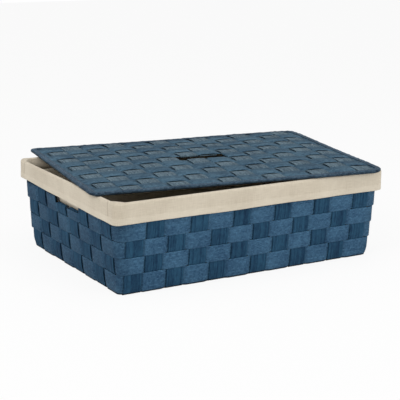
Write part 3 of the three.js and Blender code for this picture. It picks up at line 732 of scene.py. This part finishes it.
hemmed_linen = cloth_finish("cream_linen_hemmed", strap_run(profile)[hem_place] * 0.001, seam_runs)
cuff_mesh = cloth_mesh("liner_cuff_cloth", points, cuff_run, strap_run(profile), ring=True)
cuff = new_piece("liner_cuff_cloth", cuff_mesh, hemmed_linen, cloth_body, "liner", ["liner_cuff"])


def stitch_row(name, run, line, up, pitch, size, finish, body):
    """A row of thread stitches along a closed line, each a short plump grain sunk a little in the cloth."""
    form = bmesh.new()
    bmesh.ops.create_uvsphere(form, u_segments=6, v_segments=4, radius=1.0)
    count, made, apart = int(run[-1] / pitch), 1, 4.0
    while made < count:
        copies = bmesh.ops.duplicate(form, geom=form.verts[:] + form.edges[:] + form.faces[:])["geom"]
        bmesh.ops.translate(form, verts=[v for v in copies if isinstance(v, bmesh.types.BMVert)],
                            vec=(apart * made, 0, 0))
        made *= 2
    bmesh.ops.delete(form, geom=[v for v in form.verts if v.co.x > apart * (count - 0.5)], context="VERTS")
    grain = np.array([v.co for v in form.verts])
    number = np.round(grain[:, 0] / apart).astype(int)
    grain[:, 0] -= apart * number
    for face in form.faces:
        face.smooth = True
    mesh = bpy.data.meshes.new(name)
    form.to_mesh(mesh)
    form.free()

    def along(values, s):
        return np.column_stack([np.interp(s, run, values[:, k]) for k in range(3)])

    def unit(vectors):
        return vectors / np.linalg.norm(vectors, axis=1, keepdims=True)

    s = (np.arange(count) + 0.5) * run[-1] / count
    place = along(line, s)
    ahead = unit(along(line, s + 0.4) - along(line, s - 0.4))
    side = unit(np.cross(along(up, s), ahead))
    axes = np.stack([ahead * size[0] / 2, side * size[1] / 2, np.cross(ahead, side) * size[2] / 2], axis=1)
    spots = place[number] + np.einsum("vk,vkc->vc", grain, axes[number])
    mesh.vertices.foreach_set("co", (spots * 0.001).astype(np.float32).ravel())
    mesh.update()
    return new_piece(name, mesh, finish, 0, body, [])


def thread_finish(name, dark, light):
    """Twisted sewing thread, a little uneven in tone."""
    material, tree, shader = new_finish(name, Roughness=0.6, Sheen_Weight=0.2)
    twist = noise_node(tree, object_place(tree), 900.0, 2.0)
    tree.links.new(blend_node(tree, range_node(tree, twist, 0.3, 0.7, 0.0, 1.0), dark, light),
                   shader.inputs["Base Color"])
    return material


stitch_line = points[:, hem_place] + 0.4 * outward
cream_thread = thread_finish("cream_thread", rgb(204, 193, 174), rgb(226, 216, 199))
stitches = stitch_row("liner_hem_stitches", strap_run(stitch_line), stitch_line, outward, 3.6,
                      (2.7, 0.7, 0.5), cream_thread, "liner")

panel_high = liner_seam - 0.3
panel_low = liner_floor + 1.5
slot_bulge = 4.5
panel_step = 12


def corner_station(order, part):
    """A station round one of the basket's corners, from 0 at its start to 1 at its end."""
    corner_x, corner_y, facing = ring_corners[order % 4]
    return corner_x * flat_half_length, corner_y * flat_half_width, facing + 90 * part


for order, wall in enumerate(("right", "back", "left", "front")):
    begin = [corner_station(order, 0.5 + 0.125 * k) for k in range(5)]
    finish = [corner_station(order + 1, 0.125 * k) for k in range(5)]
    count = int(round(math.dist(begin[-1][:2], finish[0][:2]) / panel_step))
    flat = [(begin[-1][0] + (finish[0][0] - begin[-1][0]) * k / count,
             begin[-1][1] + (finish[0][1] - begin[-1][1]) * k / count, 90 * order) for k in range(1, count)]
    stations = np.array(begin + flat + finish, float)
    px, py, pfacing = (stations[:, k:k + 1] for k in range(3))
    heights = np.linspace(panel_low, panel_high, 25)[None, :]
    way = directions(stations[:, 2])
    run = strap_run(stations[:, :2] + 20 * way)
    pull = np.sin(np.pi * np.clip(run / run[-1], 0, 1))[:, None] ** 0.5
    sag = soft_noise(run, order + 20, 110.0, 2 * run[-1])[:, None]
    share = (heights - panel_low) / (panel_high - panel_low)
    inset = liner_inset + cloth_gap + pull * np.sin(np.pi * share) * (0.9 + 0.7 * sag)
    if wall in ("left", "right"):
        level = ease((heights - slot_wire_height - 1) / 12) * ease((slot_roof + 2 - heights) / 8)
        inset = inset - slot_bulge * level * ease((slot_half + 4 - np.abs(py)) / 14)
    panel = ring_points(px, py, pfacing, half_length(heights) - inset, half_width(heights) - inset, heights)
    tangent = np.column_stack([-way[:, 1], way[:, 0]])
    panel[0, :, :2] += 0.15 * tangent[0]
    panel[-1, :, :2] -= 0.15 * tangent[-1]
    panel += basket_centre
    name = f"liner_{wall}_cloth"
    mesh = cloth_mesh(name, panel, run, heights[0])
    piece = new_piece(name, mesh, linen, cloth_body, "liner", [f"liner_{wall}"])

base_reach_x, base_reach_y = half_length(5.4) - liner_inset, half_width(5.4) - liner_inset
xs, ys = np.linspace(-base_reach_x, base_reach_x, 49), np.linspace(-base_reach_y, base_reach_y, 33)
points = np.empty((xs.size, ys.size, 3))
points[..., 0], points[..., 1] = xs[:, None], -ys[None, :]
points[..., 2] = liner_floor + cloth_gap + 0.25 * np.sin(xs[:, None] / 37) * np.sin(ys[None, :] / 29)
points += basket_centre
mesh = cloth_mesh("liner_bottom_cloth", points, xs, ys)
bottom = new_piece("liner_bottom_cloth", mesh, linen, cloth_body, "liner", ["liner_base"])

# The lid's straps: eleven long ones and twelve across, of the same paper cord, woven flat over and under.
# Where they meet the finger slot in the middle they are folded under and glued.
# Their colours are greyer than the walls' in painted sheen, the cross straps the most, with a grey speckle
# of painted sheen as well.
lid_height = 193.69
lid_length, lid_width = 652.0, 456.0
lid_edge_inset = 10.5
lid_rows, lid_columns = 11, 12
lid_row_pitch = (lid_width - 2 * lid_edge_inset - strap_width) / (lid_rows - 1)
lid_column_pitch = (lid_length - 46.0 - strap_width) / (lid_columns - 1)
hem_length = 15.0
lid_turn = math.radians(-8.4)
lid_long_width = 39.6
lid_cross_width = 39.8
lid_reach = 19.1
dive = 3.0
rise_right, rise_back, skew_right = 3.0, 2.5, 7.0
lid_corners = [(1, -1, 32.0, 5.0, -90), (1, 1, 20.0, 0.0, 0), (-1, 1, 14.0, 0.0, 90),
               (-1, -1, 20.0, 0.0, 180)]
lid_crown, crown_inset = 7.0, 13.0
right_start = 60.0
wire_room = 6.0
lid_outer_swing = 1.3
puff_height = 0.6
closing_run = 0.8
binding_middle = 0.7
# Greyer than the walls' colours: painted sheen, strongest on the cross straps.
long_finish = strap_finish("lid_long_paper_cord", rgb(31, 59, 81), rgb(84, 115, 134), 0.7, 120.0, 2.3)
cross_finish = strap_finish("lid_cross_paper_cord", rgb(38, 63, 80), rgb(106, 129, 142), 1.1, 110.0, 2.4,
                            sheen_grey=rgb(116, 123, 124))
row_centres = [spread(k, lid_rows, lid_row_pitch) for k in range(lid_rows)]
column_stray = [5.0, -4.5, -5.5, -6.0, -5.0, 0.0, -6.0, -4.8, -5.5, -6.0, 4.5, -3.5]
column_centres = [spread(k, lid_columns, lid_column_pitch) + column_stray[k] for k in range(lid_columns)]


def crown(x, y):
    """The slight rise of the lid towards its middle, and the warp of its right end."""
    rise_x = np.cos(np.pi / 2 * np.minimum(np.abs(x) / (lid_length / 2 - crown_inset), 1))
    rise_y = np.cos(np.pi / 2 * np.minimum(np.abs(y) / (lid_width / 2 - crown_inset), 1))
    warp = ease((x - right_start) / 180) * (1 - 0.5 * ease((x - 270) / 50))
    warp = rise_right * warp * (1 - np.minimum(np.abs(y) / (lid_width / 2 - wire_room), 1) ** 6)
    return lid_crown * rise_x * rise_y + warp + rise_back * ease((x + 60) / 320) * ease((y + 60) / 280)


def lid_place(points):
    """From the lid's own plane to where it lies on the rim."""
    turned = points.copy()
    turned[..., 0] = points[..., 0] * math.cos(lid_turn) - points[..., 1] * math.sin(lid_turn)
    turned[..., 1] = points[..., 0] * math.sin(lid_turn) + points[..., 1] * math.cos(lid_turn)
    turned[..., 2] += lid_height + crown(points[..., 0], points[..., 1])
    return turned


def hem(edge, height, direction):
    """The end of a strap at the finger slot: a half turn under and a tail back along the strap."""
    tail = -rim_fold_radius
    radius = (height - tail) / 2
    angle = np.linspace(0, np.pi, 8)
    turn = np.column_stack([edge + direction * radius * np.sin(angle), tail + radius * (1 + np.cos(angle))])
    back = np.column_stack([edge - direction * np.linspace(0, hem_length, 4)[1:], np.full(3, tail)])
    return np.vstack([turn, back])


def folded_under(path, at_start, at_end):
    """The strap's path with a hem at each end that meets the finger slot."""
    if at_start:
        path = np.vstack([hem(*path[0], -1)[::-1], path[1:]])
    if at_end:
        path = np.vstack([path[:-1], hem(*path[-1], 1)])
    return path


def corner_circle(corner_x, corner_y, radius, draw):
    """The middle of the circle that rounds a corner of the lid, and its radius."""
    return np.array([corner_x * (lid_length / 2 - draw - radius), corner_y * (lid_width / 2 - radius),
                     radius])


def inside_corners(points):
    """Points of the straps' ends drawn in to clear the edge wire where a corner is rounder."""
    for corner in lid_corners:
        corner_x, corner_y, radius = corner[:3]
        middle = corner_circle(*corner[:4])[:2]
        away = points[..., :2] - middle
        reach = np.linalg.norm(away, axis=-1)
        in_corner = (away[..., 0] * corner_x > 0) & (away[..., 1] * corner_y > 0)
        beyond = in_corner & (reach > radius - wire_room)
        shrink = np.where(beyond, (radius - wire_room) / np.maximum(reach, 1e-6), 1.0)
        points[..., :2] = middle + away * shrink[..., None]
    return points


def lid_strap(name, node, path, centre, lengthwise, seed, finish):
    """One strap of the lid, puffed up where it lies on top. A long one's edges close between crossings."""
    width = lid_long_width if lengthwise else lid_cross_width
    rows, heights = cord_rows(strap_width, seed)
    rows = rows * width / strap_width
    points = np.empty((len(path), len(rows), 3))
    across = centre + (rows if lengthwise else -rows)
    points[..., 0] = path[:, :1] if lengthwise else across[None, :]
    points[..., 1] = across[None, :] if lengthwise else path[:, :1]
    points[..., 2] = path[:, 1:]
    part = rows[None, :] / (width / 2)
    puff = np.clip(path[:, 1] / swing, 0, 1)[:, None] * (1 - part ** 2)
    if lengthwise:
        apart = np.min(np.abs(path[:, :1] - np.array(column_centres)[None, :]), axis=1)
        low_closing = np.interp(apart, [lid_reach, lid_reach + closing_run], [0.0, 0.95])
        high_closing = np.interp(apart, [10.0, lid_reach, lid_reach + closing_run], [0.0, 0.62, 0.85])
        front = np.where(path[:, 1] > 0, high_closing, low_closing)[:, None]
        closing = np.where(part < 0, front, low_closing[:, None])
        points[..., 2] *= 1 - closing * np.abs(part) ** 4
    points[..., 2] += puff_height * puff
    y = points[..., 1]
    inner = np.clip((y + lid_width / 2 - wire_room) / 40, 0, 1) * np.clip(0.5 - y / lid_width, 0, 1)
    points[..., 1] += skew_right * ease((points[..., 0] - right_start) / 230) * inner
    points = inside_corners(points)
    mesh = lay_strap(name, lid_place(points), heights, strap_run(path), rows, seed)
    return new_piece(name, mesh, finish, strap_body, "lid", [node])


def lid_height_factor(values):
    """Height of a lid strap, from 1 over a crossing to -1 under it. Over, it stands out a little more."""
    return np.where(values > 0, lid_outer_swing * swing * values, swing * values)


def rim_end(edge, stop, height):
    """The end of a long strap, which rises or sinks to the middle of the binding that holds it."""
    share = np.array([0.15, 0.4, 0.7, 1.0])
    return np.column_stack([stop + (edge - stop) * share,
                            height + (binding_middle - height) * ease(share * 1.3)])


for row in range(lid_rows):
    in_slot_row = row == (lid_rows - 1) // 2
    parts = [("_left", 0, 4), ("_right", 7, 11)] if in_slot_row else [("", 0, 11)]
    for suffix, first, last in parts:
        centres = column_centres[first:last + 1]
        signs = [-1.0 if (row + k) % 2 == 1 else 1.0 for k in range(first, last + 1)]
        stops = crossing_stops(centres, lid_reach, 5, 3)
        beside = np.concatenate([np.array(centres) - lid_reach - closing_run,
                                 np.array(centres) + lid_reach + closing_run])
        stops = np.unique(np.concatenate([stops, beside[(beside > stops[0]) & (beside < stops[-1])]]))
        values = flat_crossings(stops, centres, signs, lid_reach, 1000.0)
        values = np.where(stops <= centres[0], signs[0], np.where(stops >= centres[-1], signs[-1], values))
        path = np.column_stack([stops, lid_height_factor(values)])
        edge = lid_length / 2 - lid_edge_inset
        path = folded_under(path, first > 0, last < 11)
        if first == 0:
            path = np.vstack([rim_end(-edge, *path[0])[::-1], path])
        if last == 11:
            path = np.vstack([path, rim_end(edge, *path[-1])])
        lid_strap(f"lid_long_strap_{row + 1}{suffix}", f"lid_long_{row + 1}{suffix}", path, row_centres[row],
                  True, 61 + row, long_finish)

for column in range(lid_columns):
    parts = [("_front", 0, 4), ("_back", 6, 10)] if column in (5, 6) else [("", 0, 10)]
    for suffix, first, last in parts:
        edge = lid_width / 2 - lid_edge_inset
        low = -edge if first == 0 else row_centres[first] - crossing_reach
        high = edge if last == 10 else row_centres[last] + crossing_reach
        stops = np.linspace(low, high, 8 * (last - first + 1) + 1)
        nearest = np.clip(np.round(stops / lid_row_pitch + (lid_rows - 1) / 2), first, last)
        sign = np.where((nearest + column) % 2 == 1, 1.0, -1.0)
        ahead = np.clip(np.round((stops + dive) / lid_row_pitch + (lid_rows - 1) / 2), first, last)
        wave_sign = np.where((ahead + column) % 2 == 1, 1.0, -1.0)
        past_crossing = stops + dive - (ahead - (lid_rows - 1) / 2) * lid_row_pitch
        values = wave_sign * weave_wave(past_crossing / lid_row_pitch)
        values = np.where((stops < row_centres[first]) | (stops > row_centres[last]), sign, values)
        path = folded_under(np.column_stack([stops, lid_height_factor(values)]), first > 0, last < 10)
        lid_strap(f"lid_cross_strap_{column + 1}{suffix}", f"lid_cross_{column + 1}{suffix}", path,
                  column_centres[column], False, 81 + column, cross_finish)

# The lid's binding: a navy paper-cord strap folded lengthwise round the edge wire and the ends of all
# the other straps, with a row of thread stitches through it on top.
# The straps' ends under it make it lumpy. The wire inside is the same painted steel as the frame's.
binding_reach = 13.0
binding_radius = 2.8
wire_inset = 3.35
wire_radius = 1.5
binding_seed = 97
binding_places, top_places, flat_places = 23, 13, 7
binding_press = 0.8
lump_height, small_lump_height = 0.14, 0.08
inner_waviness, least_inset = 0.4, 0.35
stitch_inset, stitch_lift = 9.6, 0.45
# Its outer side, past where it turns over the edge, gets painted shade.
binding_finish = strap_finish("binding_paper_cord", rgb(22, 43, 62), rgb(84, 110, 130), 0.7, 150.0, 2.6,
                              turned=cords_apart * cord_pitch * 0.001 * binding_seed + 0.0105)


def lid_edge(flat_step=6.0, corner_steps=9):
    """Stations round the lid's edge: the middle of its corner circle, the way it faces, and the radius."""
    stations = []
    for k, corner in enumerate(lid_corners):
        start, finish = corner_circle(*corner[:4]), corner_circle(*lid_corners[(k + 1) % 4][:4])
        facing = corner[4]
        for step in range(corner_steps + 1):
            stations.append((start[0], start[1], facing + 90 * step / corner_steps, start[2]))
        count = int(round(np.linalg.norm(finish[:2] - start[:2]) / flat_step))
        for step in range(1, count):
            x, y, radius = start + (finish - start) * step / count
            stations.append((x, y, facing + 90, radius))
    return np.array(stations)


edge = lid_edge()
edge = np.vstack([edge, edge[:1]])
outward = directions(edge[:, 2])


def round_edge(inset, level):
    """Points round the lid's edge, from insets and levels given for each station and each place across."""
    reach = edge[:, 3:4] - inset
    level = np.broadcast_to(level, (len(edge), reach.shape[1]))
    points = np.stack([edge[:, :1] + outward[:, :1] * reach, edge[:, 1:2] + outward[:, 1:2] * reach, level],
                      axis=-1)
    return lid_place(points)


edge_run = strap_run(edge[:, :2] + edge[:, 3:4] * outward)
lumps = soft_noise(edge_run, 14, 14.0, edge_run[-1])
loop_start = binding_radius + 0.55
flat_part = np.linspace(binding_reach, loop_start, flat_places)[:-1]
angle = np.linspace(np.pi / 2, -np.pi / 2, 9)
pressed = binding_radius - binding_press * np.linspace(1, 0, flat_places)[:-1] ** 1.5
turned_over = np.column_stack([loop_start - binding_radius * np.cos(angle),
                               binding_radius * np.sin(angle)])
loop = np.vstack([np.column_stack([flat_part, pressed]), turned_over,
                  np.column_stack([flat_part[::-1], -pressed[::-1]])])
loop_run = strap_run(loop)
rows = np.linspace(0, loop_run[-1], binding_places)
wavy = inner_waviness * soft_noise(edge_run, 17, 22.0, edge_run[-1])
inset = np.interp(rows, loop_run, loop[:, 0])[None, :] + wavy[:, None]
level = np.interp(rows, loop_run, loop[:, 1])
on_top = np.sin(np.pi * np.clip(np.arange(binding_places) / top_places, 0, 1))[None, :]
small_lumps = soft_noise(edge_run, 19, 8.0, edge_run[-1])
swell = 1 + (lump_height * lumps + small_lump_height * small_lumps)[:, None] * on_top
heights = np.where(np.arange(binding_places) % 2 == 1, cord_relief, -cord_relief)
points = round_edge(np.maximum(inset, least_inset), level[None, :] * swell)
mesh = lay_strap("lid_binding_strap", points, heights, edge_run, rows, binding_seed, ring=True)
new_piece("lid_binding_strap", mesh, binding_finish, strap_body, "lid", ["lid_binding"])

stitch_height = (binding_radius + stitch_lift) * swell[:, 4:5]
stitch_line = round_edge(np.full((len(edge), 1), stitch_inset), stitch_height)[:, 0]
up = np.tile([0.0, 0.0, 1.0], (len(edge), 1))
navy_thread = thread_finish("navy_thread", rgb(20, 34, 52), rgb(58, 80, 104))
stitch_row("lid_binding_stitches", strap_run(stitch_line), stitch_line, up, 6.0, (4.2, 0.9, 0.8),
           navy_thread, "lid")

around = np.linspace(0, 2 * np.pi, 13)
wire_points = round_edge(wire_inset + wire_radius * np.cos(around)[None, :].repeat(len(edge), 0),
                         wire_radius * np.sin(around)[None, :])
wire_mesh = cloth_mesh("lid_edge_wire", wire_points, edge_run, around, ring=True)
new_piece("lid_edge_wire", wire_mesh, wire_finish("painted_lid_wire"), 0, "lid", ["lid_wire"])

# The studio: a plain pale floor that fades into a white surround, a broad soft light overhead
# and a weaker one from the front, and the camera low at the front left corner.
camera_target = np.array([-17.8252, -17.5, 110.4521]) * 0.001
camera_azimuth, camera_height, camera_roll = -31.1509, 13.9294, 0.7790
camera_distance = 2.63625
camera_lens = 109.79


def seen_plainly(tree):
    """1 for a ray seen straight, in a gloss or through glass, and 0 for one that only lights."""
    rays = add(tree, "ShaderNodeLightPath")
    mirrored = math_node(tree, "MAXIMUM", rays.outputs["Is Glossy Ray"], rays.outputs["Is Transmission Ray"])
    return math_node(tree, "MAXIMUM", rays.outputs["Is Camera Ray"], mirrored)


floor_mesh = bpy.data.meshes.new("studio_floor")
form = bmesh.new()
bmesh.ops.create_grid(form, x_segments=1, y_segments=1, size=6.0)
form.to_mesh(floor_mesh)
form.free()
floor = in_scene("studio_floor", floor_mesh)
floor.location.z = -0.0003
floor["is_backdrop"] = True
floor_finish = bpy.data.materials.new("studio_floor_white")
floor_finish.use_nodes = True
tree = floor_finish.node_tree
tree.nodes.clear()
lit = add(tree, "ShaderNodeBsdfDiffuse", (0.86, 0.86, 0.86, 1.0)).outputs[0]
glow = add(tree, "ShaderNodeEmission", (1.0, 1.0, 1.0, 1.0), 1.0).outputs[0]
both = add(tree, "ShaderNodeMixShader", math_node(tree, "MULTIPLY", seen_plainly(tree), 0.9), lit,
           glow).outputs[0]
add(tree, "ShaderNodeOutputMaterial", both)
floor_mesh.materials.append(floor_finish)

world = bpy.data.worlds.new("studio_surround")
bpy.context.scene.world = world
world.use_nodes = True
tree = world.node_tree
tree.nodes.clear()
dim = add(tree, "ShaderNodeBackground", (1.0, 1.0, 1.0, 1.0), 0.55).outputs[0]
white = add(tree, "ShaderNodeBackground", (1.0, 1.0, 1.0, 1.0), 1.0).outputs[0]
surround = add(tree, "ShaderNodeMixShader", seen_plainly(tree), dim, white).outputs[0]
add(tree, "ShaderNodeOutputWorld", surround)


def soft_light(name, place, aim, size, power):
    lamp = bpy.data.lights.new(name, "AREA")
    lamp.shape = "RECTANGLE"
    lamp.size, lamp.size_y = size
    lamp.energy = power
    light = in_scene(name, lamp)
    direction = np.array(aim, float) - np.array(place, float)
    light.location = place
    light.rotation_mode = "QUATERNION"
    light.rotation_quaternion = Vector(direction).to_track_quat("-Z", "Y")


soft_light("overhead_light", (0.3, -0.3, 2.2), (0, 0, 0.1), (2.2, 1.6), 9.0)
soft_light("front_light", (0.9, -2.4, 0.9), (0, 0, 0.1), (1.6, 1.2), 18.0)
soft_light("left_light", (-2.2, -0.5, 1.9), (0, 0, 0.1), (1.4, 1.4), 26.0)

azimuth, height, roll = (math.radians(v) for v in (camera_azimuth, camera_height, camera_roll))
back = np.array([math.sin(azimuth) * math.cos(height), -math.cos(azimuth) * math.cos(height),
                 math.sin(height)])
right = np.array([math.cos(azimuth), math.sin(azimuth), 0.0])
up = np.cross(back, right)
right, up = right * math.cos(roll) + up * math.sin(roll), up * math.cos(roll) - right * math.sin(roll)
camera = in_scene("camera", bpy.data.cameras.new("camera"))
place = camera_target + back * camera_distance
camera.matrix_world = Matrix([[right[k], up[k], back[k], place[k]] for k in range(3)] + [[0, 0, 0, 1]])
camera.data.lens = camera_lens
camera.data.sensor_width = 36.0
camera.data.clip_end = 50.0
bpy.context.scene.camera = camera
bpy.context.scene.view_settings.view_transform = "Standard"

low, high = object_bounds()
